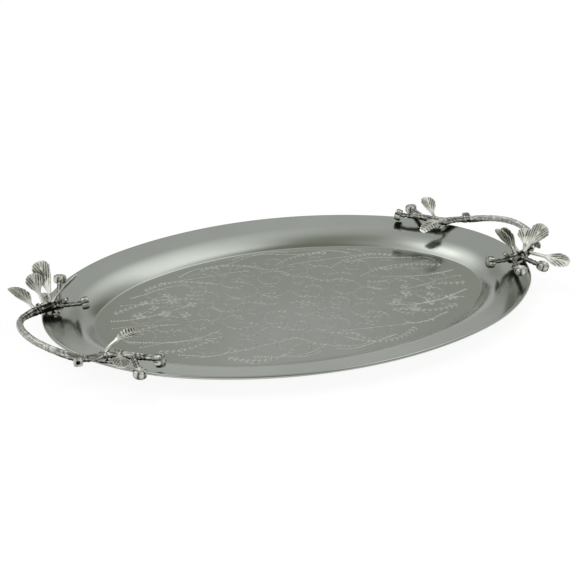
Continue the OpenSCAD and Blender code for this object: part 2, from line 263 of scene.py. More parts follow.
def spread(tree, value, low, high, start=0.3, end=0.7):
    """A number that goes from low to high while the value goes from start to end."""
    made = add(tree, "ShaderNodeMapRange", {
        "Value": value, "From Min": start, "From Max": end, "To Min": low, "To Max": high})
    return made.outputs["Result"]


def blank_material(name):
    """A plain metallic material to build on, with its tree, its shader and its Object coordinates."""
    material = bpy.data.materials.new(name)
    material.use_nodes = True
    tree = material.node_tree
    shader = tree.nodes["Principled BSDF"]
    shader.inputs["Metallic"].default_value = 1.0
    place = add(tree, "ShaderNodeTexCoord").outputs["Object"]
    return material, tree, shader, place


def grained(tree, grain, strength, height):
    """The way a surface faces once a grain of this height is laid over it."""
    bump = add(tree, "ShaderNodeBump", {"Height": grain, "Strength": strength, "Distance": height * MM})
    return bump.outputs["Normal"]


def sheet_metal(name, dull, bright, smooth_at, rough_at, grain):
    """Sheet metal with smudges in its colour and gloss and a fine grain in its surface."""
    material, tree, shader, place = blank_material(name)
    marks = add(tree, "ShaderNodeGroup", {"Vector": place}, node_tree=sheet_marks)
    smudge = marks.outputs["Smudge"]
    feed(tree, shader, {
        "Base Color": ramp(tree, smudge, dull, bright, 0.3, 0.7),
        "Roughness": spread(tree, smudge, rough_at, smooth_at),
        "Normal": grained(tree, marks.outputs["Grain"], grain, SATIN_GRAIN)})
    return material


satin_steel = sheet_metal("satin_steel", (0.565, 0.6, 0.545), (0.625, 0.66, 0.605), 0.16, 0.2, 0.06)

border = sheet_face(0) + sheet_face(SHEET)[::-1]
pan_ways = [2 * math.pi * (i + 0.5) / PAN_SIDES for i in range(PAN_SIDES)]
pan_rings = [[(*oval_point(way, x - BORDER_WIDTH), z) for way in pan_ways] for x, z in border]
pan = closed_skin("tray_pan_pressed", pan_rings)

# The feet of the two posts on the left flange: turn along the rim and distance outside it
FEET = {"cluster_post": (13, -11.5), "tail_post": (-43.5, -6.5)}


def rim_point(turn, out):
    """A point of the plan near the left end, with the way out turned from -X towards +Y."""
    return oval_point(math.pi - math.radians(turn), out)


def foot_point(foot):
    """The middle of a post's foot, on the upper face of the flange."""
    x, y = rim_point(*foot)
    return np.array([x, y, FLANGE_END[1] + (BORDER_WIDTH + foot[1] - FLANGE_END[0]) * math.tan(FLANGE_SLOPE)])


def foot_up(foot):
    """The way straight up from the flange at a post's foot."""
    turn = math.radians(foot[0])
    across = math.sin(FLANGE_SLOPE)
    return np.array([across * math.cos(turn), -across * math.sin(turn), math.cos(FLANGE_SLOPE)])


def unit(vector):
    return np.asarray(vector, float) / np.linalg.norm(vector)


def once_round(count):
    """As many even turns, once round."""
    return 2 * np.pi * np.arange(count) / count


def lathe(start, way, section, sides=48, swell=None):
    """Rings of a turned piece: its section gives radius and height along the way from the start."""
    way = unit(way)
    side = unit(np.cross(way, (0, 0, 1) if abs(way[2]) < 0.9 else (1, 0, 0)))
    other = np.cross(side, way)
    turns = once_round(sides)
    spokes = np.cos(turns)[:, None] * side + np.sin(turns)[:, None] * other
    rings = []
    for i, (radius, height) in enumerate(section):
        reach = radius * (1 if swell is None else swell(i, turns))
        rings.append(start + way * height + spokes * np.broadcast_to(reach, turns.shape)[:, None])
    return np.array(rings)


def coat(piece, material):
    """Gives a piece one material all over."""
    piece.data.materials.clear()
    piece.data.materials.append(material)


def half_turn(rings):
    """The same points at the right end of the tray, half a turn round."""
    return np.asarray(rings) * (-1, -1, 1)


# How points given at the left end come to each end
ENDS = {"left": np.asarray, "right": half_turn}
for end in ENDS.values():
    for foot in FEET.values():
        section = [(SCREW_HOLE / 2, -HOLE_REACH), (SCREW_HOLE / 2, HOLE_REACH)]
        bore = lathe(foot_point(foot), foot_up(foot), section)
        combine(pan, closed_skin("screw_hole", end(bore)), "DIFFERENCE")
coat(pan, satin_steel)
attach(pan, "root")
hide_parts("tray_pan")

# Etched floor
# Floral work etched into the floor of the pan: slender blades, beaded stems and ferns that grow in from both
# ends, flowers between them and faint scrolls all over. The lines stand a hair above the ground, which was
# eaten away.
LINE_WIDTH = 0.75
LINE_HEIGHT = 0.15
LEAFLET = 4.4
LEAFLET_PITCH = 5
BEAD = 1.3
BEAD_PITCH = 2.6
PETAL = 4
PETALS = 5
FLOWER_EYE = 1.3
# Flowers at each end, the middle of their patch and its reach
FLOWERS = 8
FLOWER_PATCH = (112, -26)
FLOWER_REACH = 34
# Stems at each end: half axes of the oval that they start from, how far round it they reach,
# the shortest length, and what each step to a longer one adds
SPRAY_STEMS = 19
SPRAY_FEET = (162, 92)
SPRAY_FAN = math.radians(76)
STEM_LENGTH = 44
STEM_LONGER = 13
# Scrolls: half axes of their field, and the size and turns of one
SCROLLS = 64
SCROLL_FIELD = (150, 88)
SCROLL_SIZE = 15
SCROLL_TURNS = 1.25
GOLDEN_TURN = math.pi * (3 - math.sqrt(5))


def line_mesh(name, lines):
    """Loose polylines on the floor with a swell for each point, as the host of an etched pattern."""
    points, edges, swells = [], [], []
    for line, swell in lines:
        first = len(points)
        points += [(x, y, SHEET) for x, y in line]
        edges += [(first + i, first + i + 1) for i in range(len(line) - 1)]
        swells += list(swell)
    host = mesh_piece(name, points, edges)
    stored = host.data.attributes.new("swell", "FLOAT", "POINT")
    stored.data.foreach_set("value", np.array(swells, np.float32))
    return host


def maths(tree, operation, *values, **settings):
    """The outcome of one operation on numbers in a node tree."""
    return add(tree, "ShaderNodeMath", enumerate(values), operation=operation, **settings).outputs[0]


def made_real(tree, instances, material):
    """Instances in a node tree as plain geometry of one material."""
    real = add(tree, "GeometryNodeRealizeInstances", {"Geometry": instances})
    dressed = add(tree, "GeometryNodeSetMaterial", {
        "Geometry": real.outputs["Geometry"], "Material": material})
    return dressed.outputs["Geometry"]


def etched_pattern_tree():
    """Ridged lines along the host's edges, with an ornament at an even pitch on one side or both."""
    tree, given, result = group_tree(
        "etched_pattern", "GeometryNodeTree",
        [("Lines", "Geometry", None), ("Line Width", "Float", LINE_WIDTH * MM),
         ("Line Height", "Float", LINE_HEIGHT * MM), ("Ornament", "Object", None),
         ("Pitch", "Float", LEAFLET_PITCH * MM), ("Splay", "Float", 0.8), ("Far Side", "Float", 1.0),
         ("Material", "Material", None)],
        [("Etching", "Geometry")])
    stored = add(tree, "GeometryNodeInputNamedAttribute", {"Name": "swell"}, data_type="FLOAT")
    swell = stored.outputs["Attribute"]
    curve = add(tree, "GeometryNodeMeshToCurve", {"Mesh": given["Lines"]}).outputs["Curve"]
    level = add(tree, "GeometryNodeSetCurveNormal", {"Curve": curve}, mode="Z_UP").outputs["Curve"]
    sized = add(tree, "GeometryNodeSetCurveRadius", {"Curve": level, "Radius": swell}).outputs["Curve"]
    diamond = add(tree, "GeometryNodeCurvePrimitiveCircle", {"Resolution": 4, "Radius": 1.0}).outputs["Curve"]
    half_width = maths(tree, "MULTIPLY", given["Line Width"], 0.5)
    flat = add(tree, "ShaderNodeCombineXYZ", {"X": half_width, "Y": given["Line Height"], "Z": 1.0})
    ridge = add(tree, "GeometryNodeTransform", {"Geometry": diamond, "Scale": flat.outputs[0]})
    lines = add(tree, "GeometryNodeCurveToMesh", {
        "Curve": sized, "Profile Curve": ridge.outputs["Geometry"], "Fill Caps": True}).outputs["Mesh"]
    spots = add(tree, "GeometryNodeCurveToPoints", {
        "Curve": level, "Length": given["Pitch"]}, mode="LENGTH")
    ahead = add(tree, "FunctionNodeAlignRotationToVector", {"Vector": spots.outputs["Tangent"]}, axis="X")
    ornament = add(tree, "GeometryNodeObjectInfo", {"Object": given["Ornament"]}).outputs["Geometry"]
    joined = add(tree, "GeometryNodeJoinGeometry")
    tree.links.new(lines, joined.inputs[0])
    for way, share in ((1.0, 1.0), (-1.0, given["Far Side"])):
        splay = maths(tree, "MULTIPLY", given["Splay"], way)
        size = maths(tree, "MULTIPLY", swell, share)
        turn = add(tree, "ShaderNodeCombineXYZ", {"Z": splay})
        aside = add(tree, "FunctionNodeRotateRotation", {
            "Rotation": ahead.outputs["Rotation"], "Rotate By": turn.outputs[0]}, rotation_space="LOCAL")
        placed = add(tree, "GeometryNodeInstanceOnPoints", {
            "Points": spots.outputs["Points"], "Instance": ornament,
            "Rotation": aside.outputs["Rotation"], "Scale": size})
        tree.links.new(placed.outputs["Instances"], joined.inputs[0])
    feed(tree, result, {"Etching": made_real(tree, joined.outputs[0], given["Material"])})
    return tree


def grow(piece, tree, **inputs):
    """Runs a geometry tree on a piece with the named inputs and keeps the plain mesh."""
    modifier = piece.modifiers.new(tree.name, "NODES")
    modifier.node_group = tree
    names = {item.name.replace(" ", "_"): item.identifier for item in tree.interface.items_tree}
    for name, value in inputs.items():
        modifier[names[name]] = value
    return settle(piece)


def blade_ornament(name, length, breadth):
    """A small closed relief: an oval on the ground with a crest above and below its middle."""
    turns = [2 * math.pi * i / 12 for i in range(12)]
    points = [(length * (0.5 - 0.5 * math.cos(t)), 0.5 * breadth * math.sin(t), 0) for t in turns]
    top = len(points)
    points += [(0.45 * length, 0, LINE_HEIGHT), (0.45 * length, 0, -LINE_HEIGHT)]
    faces = []
    for i in range(top):
        k = (i + 1) % top
        faces += [(k, i, top), (i, k, top + 1)]
    return mesh_piece(name, points, faces=faces)


leaflet = blade_ornament("etched_leaflet", LEAFLET, 0.26 * LEAFLET)
bead = blade_ornament("etched_bead", BEAD, BEAD)
petal = blade_ornament("etched_petal", PETAL, 0.75 * PETAL)


def spray_stem(number, end):
    """A stem of the spray at one end: it leaves the edge of the floor and bends towards the middle."""
    share = 2 * number / (SPRAY_STEMS - 1) - 1
    x = SPRAY_FEET[0] * math.cos(share * SPRAY_FAN)
    y = SPRAY_FEET[1] * math.sin(share * SPRAY_FAN)
    length = STEM_LENGTH + STEM_LONGER * (number % 4)
    steps = 48
    line, swell = [], []
    for i in range(steps + 1):
        along = i / steps
        line.append((end * x, y))
        swell.append(1.25 - 0.7 * along)
        angle = 0.5 * share - share * 1.3 * along**1.5 + 0.3 * math.sin(2.4 * number + 3.5 * along)
        x -= length / steps * math.cos(angle)
        y += length / steps * math.sin(angle)
    return line, swell


def scroll(number):
    """A spiral tendril; the scrolls are spread evenly over the floor and wind both ways."""
    reach = math.sqrt((number + 0.5) / SCROLLS)
    x = SCROLL_FIELD[0] * reach * math.cos(number * GOLDEN_TURN)
    y = SCROLL_FIELD[1] * reach * math.sin(number * GOLDEN_TURN)
    way = 1 if number % 2 else -1
    size = SCROLL_SIZE * (0.8 + 0.1 * (number % 5))
    steps = 44
    line, swell = [], []
    for i in range(steps + 1):
        along = i / steps
        turn = number + way * 2 * math.pi * SCROLL_TURNS * along
        radius = size * (1 - along) ** 0.7 + 0.6
        line.append((x + radius * math.cos(turn), y + radius * math.sin(turn)))
        swell.append(1 - 0.5 * along)
    return line, swell


def flower(number, end):
    """The round eye of one flower, in a loose patch near one end."""
    reach = FLOWER_REACH * math.sqrt((number + 0.5) / FLOWERS)
    turn = number * GOLDEN_TURN
    x = end * (FLOWER_PATCH[0] + reach * math.cos(turn))
    y = end * FLOWER_PATCH[1] + 0.7 * reach * math.sin(turn)
    around = [turn - math.pi * i / PETALS for i in range(2 * PETALS + 1)]
    line = [(x + FLOWER_EYE * math.cos(t), y + FLOWER_EYE * math.sin(t)) for t in around]
    return line, [0.8 + 0.2 * (number % 3)] * len(line)


etched_steel = sheet_metal("etched_steel", (0.67, 0.7, 0.64), (0.75, 0.78, 0.72), 0.18, 0.26, 0.1)
bright_steel = sheet_metal("bright_steel", (0.76, 0.78, 0.73), (0.85, 0.87, 0.82), 0.28, 0.38, 0.1)
frosted_steel = sheet_metal("frosted_steel", (0.88, 0.89, 0.85), (0.95, 0.96, 0.92), 0.42, 0.52, 0.1)
bare, beaded, leafy, flowers = [], [], [], []
for end in (1, -1):
    stems = [spray_stem(number, end) for number in range(SPRAY_STEMS)]
    bare += stems[::3]
    beaded += stems[1::3]
    leafy += stems[2::3]
    flowers += [flower(number, end) for number in range(FLOWERS)]
scrolls = [scroll(number) for number in range(SCROLLS)]
eye_length = 2 * math.pi * FLOWER_EYE
etched_pattern = etched_pattern_tree()
for name, steel, lines, ornament, pitch, splay, far_side in (
        ("etched_blades", frosted_steel, bare, bead, 8 * BEAD_PITCH, math.pi / 2, 0.0),
        ("etched_beads", frosted_steel, beaded, bead, BEAD_PITCH, math.pi / 2, 0.0),
        ("etched_ferns", bright_steel, leafy, leaflet, LEAFLET_PITCH, 0.7, 0.8),
        ("etched_scrolls", etched_steel, scrolls, leaflet, LEAFLET_PITCH, 0.8, 0.0),
        ("etched_flowers", bright_steel, flowers, petal, eye_length / PETALS, math.pi / 2, 0.0)):
    etching = line_mesh(name, lines)
    grow(etching, etched_pattern, Line_Width=LINE_WIDTH * MM, Line_Height=LINE_HEIGHT * MM, Ornament=ornament,
         Pitch=pitch * MM, Splay=splay, Far_Side=far_side, Material=steel)
    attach(etching, "root")
for ornament in (leaflet, bead, petal):
    bpy.data.objects.remove(ornament)

# Posts
# Short turned nickel posts, two under each twig. Each stands on the flange on a broad foot and carries
# the twig on its neck; a screw from below runs through its bore.
POST_HEIGHT = {"cluster_post": 7.5, "tail_post": 6.25}
POST_FOOT_R = 4.2
POST_TOP_R = 2.6
POST_SEAT = 0.8
POST_BORE_R = 1.55
# Height of the grain that the casting mould leaves
CAST_GRAIN = 0.2
# Radius of the twig at the points of its guide, and the points that stand over the posts
TWIG_RADII = (3.6, 4.8, 4.2, 3.2, 3.1, 3.1, 3.1, 3.6, 3.2, 3.9, 3.2, 2.8)
POST_AT = {"cluster_post": 1, "tail_post": 9}


def cast_wear_group():
    """Where a cast and darkened surface was polished bright again: its raised parts, a little unevenly, less
    in painted shade.
    """
    tree, given, result = group_tree(
        "cast_wear", "ShaderNodeTree",
        [("Vector", "Vector", None), ("Relief", "Float", 1.0), ("Grain Scale", "Float", 700.0)],
        [("Polish", "Float"), ("Grain", "Float")])
    blotch = noise(tree, given["Vector"], 260.0, 3.0, 0.6)
    grain = noise(tree, given["Vector"], given["Grain Scale"], 2.0, 0.5)
    uneven = maths(tree, "SUBTRACT", blotch, 0.5)
    spoiled = maths(tree, "MULTIPLY_ADD", uneven, 0.7, given["Relief"], use_clamp=True)
    feed(tree, result, {"Polish": spoiled, "Grain": grain})
    return tree


cast_wear = cast_wear_group()


def cast_nickel(name, recess, polished, rough_recess, rough_polished, grain):
    """Cast nickel, dark in its recesses and in painted shade, and bright where it stands out."""
    material, tree, shader, place = blank_material(name)
    relief = add(tree, "ShaderNodeAttribute", attribute_name="relief").outputs["Fac"]
    wear = add(tree, "ShaderNodeGroup", {"Vector": place, "Relief": relief}, node_tree=cast_wear)
    polish_and_shade = wear.outputs["Polish"]
    feed(tree, shader, {
        "Base Color": ramp(tree, polish_and_shade, recess, polished, 0.25, 0.95),
        "Roughness": spread(tree, polish_and_shade, rough_recess, rough_polished, 0.2, 0.8),
        "Normal": grained(tree, wear.outputs["Grain"], grain, CAST_GRAIN)})
    return material


post_nickel = cast_nickel("post_nickel", (0.12, 0.115, 0.09), (0.78, 0.78, 0.74), 0.4, 0.16, 0.1)


def post_rings(label):
    """A post as rings round its closed section: foot, neck, seat in the twig and bore."""
    top = POST_HEIGHT[label] - TWIG_RADII[POST_AT[label]] + POST_SEAT
    section = [(POST_FOOT_R - 0.25, 0.05), (POST_FOOT_R, 0.25), (POST_FOOT_R, 0.85), (POST_FOOT_R - 0.3, 1.1),
               (POST_TOP_R + 0.5, 1.5), (POST_TOP_R + 0.1, 2.0), (POST_TOP_R - 0.1, 2.6),
               (POST_TOP_R, 0.85 * top), (POST_TOP_R, top), (POST_BORE_R, top), (POST_BORE_R, 0.05)]
    return lathe(foot_point(FEET[label]), foot_up(FEET[label]), section)


for side, end in ENDS.items():
    for label in FEET:
        post = closed_skin(f"{side}_{label}_turned", end(post_rings(label)), wrapped=True, sharp=35)
        coat(post, post_nickel)
        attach(post, "root")
        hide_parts(f"{side}_{label}")

# Twigs
# The two handles, cast in nickel as bark-covered twigs. Each runs from a thick cut end on the flange round
# the outside of the rim to a thin tail, with a cut stub at the bend, two spurs and a knot under each leaf
# and bud.
TWIG_RINGS = 520
TWIG_SIDES = 64
BARK_DEPTH = 0.9
KNOT_RISE = 0.8
KNOT_SPREAD = 2.8
# Painted shade: how much darker the downward sides of the twig and the lower halves of the buds are painted
UNDER_SHADE = 0.9
STUB_AT = 7.15
STUB_REACH = np.array([-1.5, -8.5, 0])
STUB_R = 4.5
STUB_HOLLOW = 1.2
# How square the section of the stub is, and its share of the radius on the flat sides
SQUARE_POWER = 5
SQUARE_SHARE = 0.82
KNOT_HOLE_R = 1.6
KNOT_HOLE_DEPTH = 0.9
SPUR_R = 1.9
SPURS = ((0.55, (6, -3, 6)), (1.75, (-5, -4, 6)))
BORE_DEPTH = 8.8
# How coarse the bark is at the points of the guide: worn smooth where the twig is held. Where it is coarse,
# the underside also gets more painted shade
TWIG_BARK = (1, 1, 1, 0.8, 0.45, 0.4, 0.45, 0.7, 0.7, 0.7, 0.75, 0.75)


def over(label):
    """The point of the guide straight over a post."""
    return foot_point(FEET[label]) + POST_HEIGHT[label] * foot_up(FEET[label])


def beside(turn, out, up):
    """A point of the guide beside the rim: turn along it, distance outside it and height above it."""
    return np.array([*rim_point(turn, out), RIM_HEIGHT + up])


TWIG_GUIDE = np.array([
    beside(13, -19, 4.5), over("cluster_post"), beside(7.5, 2, 6), beside(0, 15.7, 8),
    beside(-8, 21.6, 10), beside(-18, 22.6, 11), beside(-28, 18.6, 9), beside(-37, 10.8, 5),
    beside(-40.5, 4, 4.4), over("tail_post"), beside(-50, -10, 6.6), beside(-55, -11, 7)])
GUIDE_END = len(TWIG_GUIDE) - 1

# Leaves: place on the twig, way to the tip, way the blade faces, width, curl towards the face,
# the share of the length that is bare stalk, and the share of the blade up to its broadest place
LEFT_LEAVES = {
    "outer_leaf": (2.15, (-15, 41, 4.5), (0.2, -0.4, 1), 14, -35, 0.1, 0.42),
    "top_leaf": (1.2, (-7, 17, 34.5), (-0.3, -1, 0.3), 16, 16, 0.15, 0.8),
    "middle_leaf": (1.62, (-8, 9.5, 28.5), (0.1, -1, 0.1), 15, 14, 0.3, 0.7),
    "inner_leaf": (1.4, (24, -5, 28), (0.57, -0.58, -0.58), 10, 18, 0.15, 0.55),
    "well_leaf": (8.6, (36, 16, 4.5), (0.1, -0.3, 1), 12, -105, 0.2, 0.5),
    "rim_leaf": (9.34, (-4, -33, 6), (0.2, 0.2, 1), 15, -25, 0.2, 0.6)}
RIGHT_LEAVES = {
    "outer_leaf": (2, (-18, 45, 6), (0.69, 0.17, 0.79), 14, -10, 0.38, 0.6),
    "top_leaf": (1.55, (-19.5, 3.5, 29), (0.4, 1, 0), 18, 14, 0.2, 0.68),
    "middle_leaf": (1.8, (-3, -8.5, 22), (0.6, 1, 0), 13.5, 14, 0.2, 0.65),
    "inner_leaf": (1.27, (20, -6, 28), (-0.8, -0.45, 0.4), 13, -12, 0.16, 0.55),
    "well_leaf": (8.6, (36, 17, 0), (0, 0.2, 1), 13, -60, 0.2, 0.5),
    "rim_leaf": (9.34, (-6, -38, 8), (0, 0.3, 1), 15, 16, 0.22, 0.65),
    "second_leaf": (1.48, (15, -10, 26), (-0.86, -0.5, 0.13), 12, -6, 0.16, 0.6),
    "small_leaf": (2.35, (-5, 8, 8.5), (0.6, 0.4, 0), 9, 16, 0.2, 0.6)}
# Buds: place on the twig, way to the middle of the bud, share of the full size, and way of its axis
LEFT_BUDS = {
    "back_bud": (0.85, (8, 35, 6), 1, (0.1, 0.1, 1)),
    "low_bud": (1.42, (-1, 24, -2), 0.65, (0, 0, 1)),
    "inner_bud": (0, (18, 0, -1), 1, (1, 0, 0.1)),
    "side_bud": (9.95, (0, -27, -1), 1, (0.1, -0.1, 1)),
    "end_bud": (GUIDE_END, (5.5, -5.5, -0.5), 1, (0.7, -0.6, 0.3))}
RIGHT_BUDS = {
    "back_bud": (0.85, (10, 34, 5), 1, (0, 0.1, 1)),
    "low_bud": (1.42, (-10, 26, 0), 1, (-0.2, 0.2, 1)),
    "inner_bud": (0, (17, 0, 0), 1, (1, 0, 0.1)),
    "side_bud": (9.95, (1, -28, -2), 1, (0.1, 0, 1)),
    "end_bud": (GUIDE_END, (7, -6, -1), 1, (0.7, -0.6, 0.2))}


def smooth(values, at):
    """A smooth curve through a list of points or numbers, at places counted in points."""
    values = np.asarray(values, float)
    padded = np.concatenate(([2 * values[0] - values[1]], values, [2 * values[-1] - values[-2]]))
    i = np.minimum(np.floor(at).astype(int), len(values) - 2)
    u = np.asarray(at - i)
    if values.ndim > 1:
        u = u[..., None]
    a, b, c, d = (padded[i + k] for k in range(4))
    return 0.5 * (2 * b + (c - a) * u + (2 * a - 5 * b + 4 * c - d) * u**2 + (3 * b - a - 3 * c + d) * u**3)


def twig_point(at):
    """The point on the axis of the twig at a place counted in points of its guide."""
    return smooth(TWIG_GUIDE, np.float64(at))


def twig_radius(at):
    return smooth(TWIG_RADII, np.float64(at))


def twig_way(at):
    step = 0.02
    return unit(twig_point(min(at + step, GUIDE_END)) - twig_point(max(at - step, 0)))


def twig_rings(shoots):
    """Rings of the twig with bark furrows and knots, and how far each point stands out, darkened by painted
    shade on its underside.
    """
    places = np.linspace(0, GUIDE_END, TWIG_RINGS)
    middle = smooth(TWIG_GUIDE, places)
    radius = smooth(TWIG_RADII, places)
    run = np.concatenate(([0], np.cumsum(np.linalg.norm(np.diff(middle, axis=0), axis=1))))
    turns = once_round(TWIG_SIDES)
    spokes = []
    for at in places:
        way = twig_way(at)
        side = unit(np.cross(way, (0, 0, 1)))
        spokes.append(np.cos(turns)[:, None] * side + np.sin(turns)[:, None] * np.cross(side, way))
    spokes = np.array(spokes)
    along, around = run[:, None], turns[None, :]
    sway = 0.5 * np.sin(along / 9) + 0.3 * np.sin(along / 4.3 + 2)
    furrow = np.abs(np.sin(2.5 * around + 0.8 * sway + 0.4)) ** 0.45
    cracks = np.abs(np.sin(3.5 * around - 1.6 * sway + 0.9 * np.sin(along / 3.7))) ** 0.45
    scars = 0.5 + 0.5 * np.sin(1.1 * along + 2.4 * np.sin(around + 0.4 * along) + 1.7 * np.sin(0.23 * along))
    coarse = np.clip(smooth(TWIG_BARK, places), 0, 1)[:, None]
    bark = 1 - coarse * (1 - furrow * cracks * (0.4 + 0.6 * scars))
    rise = BARK_DEPTH * (bark - 1)
    skin = middle[:, None, :] + radius[:, None, None] * spokes
    for at, way, *_ in shoots:
        root = twig_point(at) + unit(way) * twig_radius(at)
        rise = rise + KNOT_RISE * np.exp(-np.sum((skin - root) ** 2, axis=2) / KNOT_SPREAD**2)
    behind = twig_point(STUB_AT) - unit(STUB_REACH) * twig_radius(STUB_AT)
    hole = np.exp(-np.sum((skin - behind) ** 2, axis=2) / KNOT_HOLE_R**2)
    rise = rise - KNOT_HOLE_DEPTH * hole
    # Painted shade: points that face down are painted darker, more so where the bark is coarse
    shade = 1 - UNDER_SHADE * coarse * np.clip(0.3 - spokes[:, :, 2], 0, 1)
    return skin + rise[:, :, None] * spokes, bark * shade * (1 - hole)


def squarish(_, turns):
    """A round section pressed towards a square, as a share of its radius."""
    corners = np.abs(np.cos(turns)) ** SQUARE_POWER + np.abs(np.sin(turns)) ** SQUARE_POWER
    return SQUARE_SHARE * corners ** (-1 / SQUARE_POWER)


def cut_shades(levels, sides):
    """How bright the points of a cut branch are painted: a level for each ring, with streaks along the bark.
    """
    streaks = np.abs(np.sin(3.5 * np.pi * np.arange(sides) / sides + 0.6)) ** 0.5
    return np.outer(levels, 0.6 + 0.4 * streaks)


def stub_rings():
    """The cut stub at the bend, squarish with a hollow end, and how bright its points are painted."""
    length = np.linalg.norm(STUB_REACH)
    section = [(0.8 * STUB_R, 0), (0.95 * STUB_R, 0.35 * length), (STUB_R, 0.6 * length),
               (STUB_R, 0.9 * length), (0.92 * STUB_R, length), (0.5 * STUB_R, length),
               (0.36 * STUB_R, length - STUB_HOLLOW / 3), (0.3 * STUB_R, length - STUB_HOLLOW)]
    rings = lathe(twig_point(STUB_AT), STUB_REACH, section, swell=squarish)
    return rings, cut_shades((0.4, 0.5, 0.6, 0.75, 0.85, 0.75, 0.4, 0.1), rings.shape[1])


def spur_rings(at, reach):
    """A short cut spur with a hollowed end, and how bright its points are painted."""
    length = np.linalg.norm(reach)
    section = [(SPUR_R, 0), (SPUR_R, 0.7 * length), (1.1 * SPUR_R, 0.9 * length), (0.8 * SPUR_R, length),
               (0.3 * SPUR_R, length - 0.5)]
    rings = lathe(twig_point(at), reach, section, sides=24)
    return rings, cut_shades((0.3, 0.6, 1, 0.9, 0.1), rings.shape[1])


twig_nickel = cast_nickel("twig_nickel", (0.014, 0.0135, 0.007), (0.9, 0.915, 0.84), 0.45, 0.12, 0.25)
LEAVES = {"left": LEFT_LEAVES, "right": RIGHT_LEAVES}
BUDS = {"left": LEFT_BUDS, "right": RIGHT_BUDS}
for side, end in ENDS.items():
    # The relief of each twig holds its bark and knot hole, with painted shade on the underside
    rings, bark = twig_rings([*LEAVES[side].values(), *BUDS[side].values()])
    twig = closed_skin(f"{side}_twig_cast", end(rings), bark, sharp=60)
    for rings, shades in (stub_rings(), *(spur_rings(*spur) for spur in SPURS)):
        combine(twig, closed_skin("cut_branch", end(rings), shades), "UNION")
    for foot in FEET.values():
        bore = lathe(foot_point(foot), foot_up(foot), [(POST_BORE_R, 0), (POST_BORE_R, BORE_DEPTH)])
        combine(twig, closed_skin("screw_bore", end(bore), np.zeros(bore.shape[:2])), "DIFFERENCE")
    coat(twig, twig_nickel)
    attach(twig, "root")
    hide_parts(f"{side}_twig")

# Leaves
# Thin cast nickel blades, each on a round stalk whose peg is brazed into the twig. They are spoon-shaped,
# with a midrib, feather veins that end in small teeth, and a raised edge.
LEAF_SHEET = 1.5
STALK_R = 1.6
LEAF_CUP = 0.18
LEAF_RISE = 1.5
LEAF_RINGS = 150
LEAF_SIDES = 60
TIP_TRIM = 0.3
VEIN_DEPTH = 0.5
# Half width of the midrib, and the share of the half width where the raised edge begins
MIDRIB = 0.9
LEAF_EDGE = 0.86
# Painted shade: how much darker the side of a leaf that faces down is painted
LEAF_UNDER_SHADE = 0.45
STALK_SUNK = 1.2
GRAZE_GAP = 0.3
# How the veins are cut: pitch along the leaf, slope towards the tip, depth of the teeth at the edge
FAN_VEINS = (6.5, 3.0, 0.16)
COMB_VEINS = (2.9, 0.4, 0.5)


def skin_reach(at, way):
    """How far from the axis of the twig its skin lies on the given way; nothing at its cut ends."""
    if at in (0, GUIDE_END):
        return 0.0
    return twig_radius(at) / np.linalg.norm(np.cross(way, twig_way(at)))


def stalk_start(at, way, radius):
    """How far from the axis of the twig a stalk is clear of the skin all round."""
    if at in (0, GUIDE_END):
        return GRAZE_GAP
    slope = abs(way @ twig_way(at)) / np.linalg.norm(np.cross(way, twig_way(at)))
    return skin_reach(at, way) + GRAZE_GAP + radius * slope


